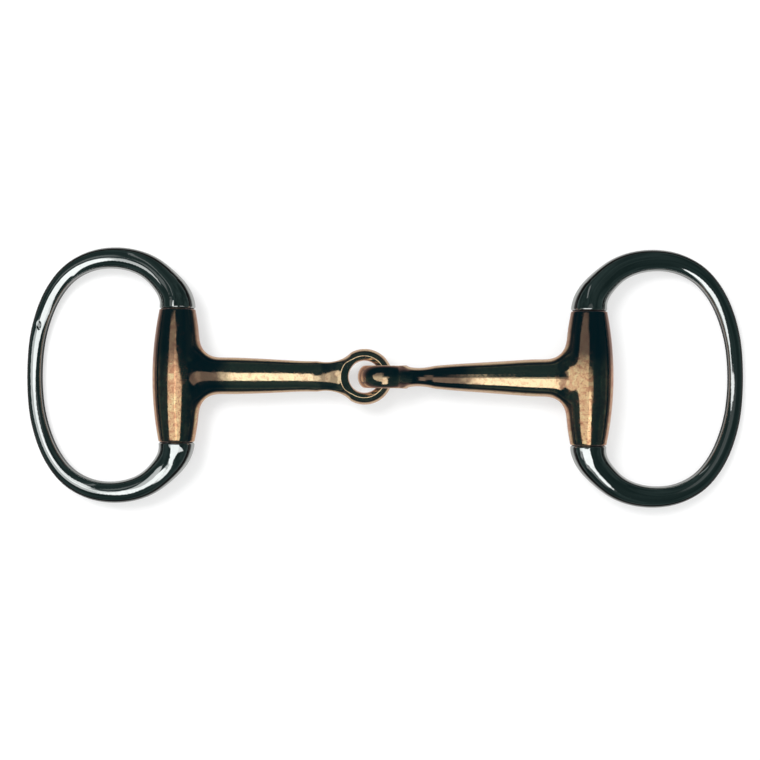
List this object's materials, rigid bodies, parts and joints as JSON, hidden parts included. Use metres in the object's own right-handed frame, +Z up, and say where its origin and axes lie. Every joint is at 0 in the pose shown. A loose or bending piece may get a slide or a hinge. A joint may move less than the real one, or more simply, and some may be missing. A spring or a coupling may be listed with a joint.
{
  "type": "snaffle bit",
  "caption": "Jointed eggbutt snaffle bit: copper-alloy mouthpiece arms linked at the centre by interlocking eyes, polished steel egg-shaped cheek rings turning on the end barrels.",
  "frame": {"origin": "midway between the two barrel axes, on the mouthpiece axis, with the bit laid out straight on a table and each ring hanging 8 degrees below level, so that its far bar lies on the table", "axes": "+X along the mouthpiece from the left cheek to the right cheek, +Y along the barrels towards the upper cheekpiece end, +Z up from the table"},
  "size_m": [0.2408, 0.0858, 0.0186],
  "materials": {
    "copper_alloy": "polished copper alloy, slightly tarnished",
    "polished_steel": "mirror-polished stainless steel",
    "pin_steel": "ground stainless steel"
  },
  "bodies": {
    "left_mouthpiece": {"left_mouthpiece_arm": "copper_alloy"},
    "right_mouthpiece": {"right_mouthpiece_arm": "copper_alloy"},
    "left_cheek": {"left_cheek_ring": "polished_steel", "left_hinge_pin": "pin_steel"},
    "right_cheek": {"right_cheek_ring": "polished_steel", "right_hinge_pin": "pin_steel"}
  },
  "joints": [
    {"name": "centre_fold", "type": "hinge", "parent": "left_mouthpiece", "child": "right_mouthpiece", "pos_m": [0.001, 0, 0], "axis": [0, 1, 0], "range_deg": [-115, 115]},
    {"name": "left_cheek_swing", "type": "hinge", "parent": "left_mouthpiece", "child": "left_cheek", "pos_m": [-0.0685, 0, 0], "axis": [0, 1, 0], "range_deg": [-162, 178]},
    {"name": "right_cheek_swing", "type": "hinge", "parent": "right_mouthpiece", "child": "right_cheek", "pos_m": [0.0685, 0, 0], "axis": [0, 1, 0], "range_deg": [-178, 162]}
  ]
}
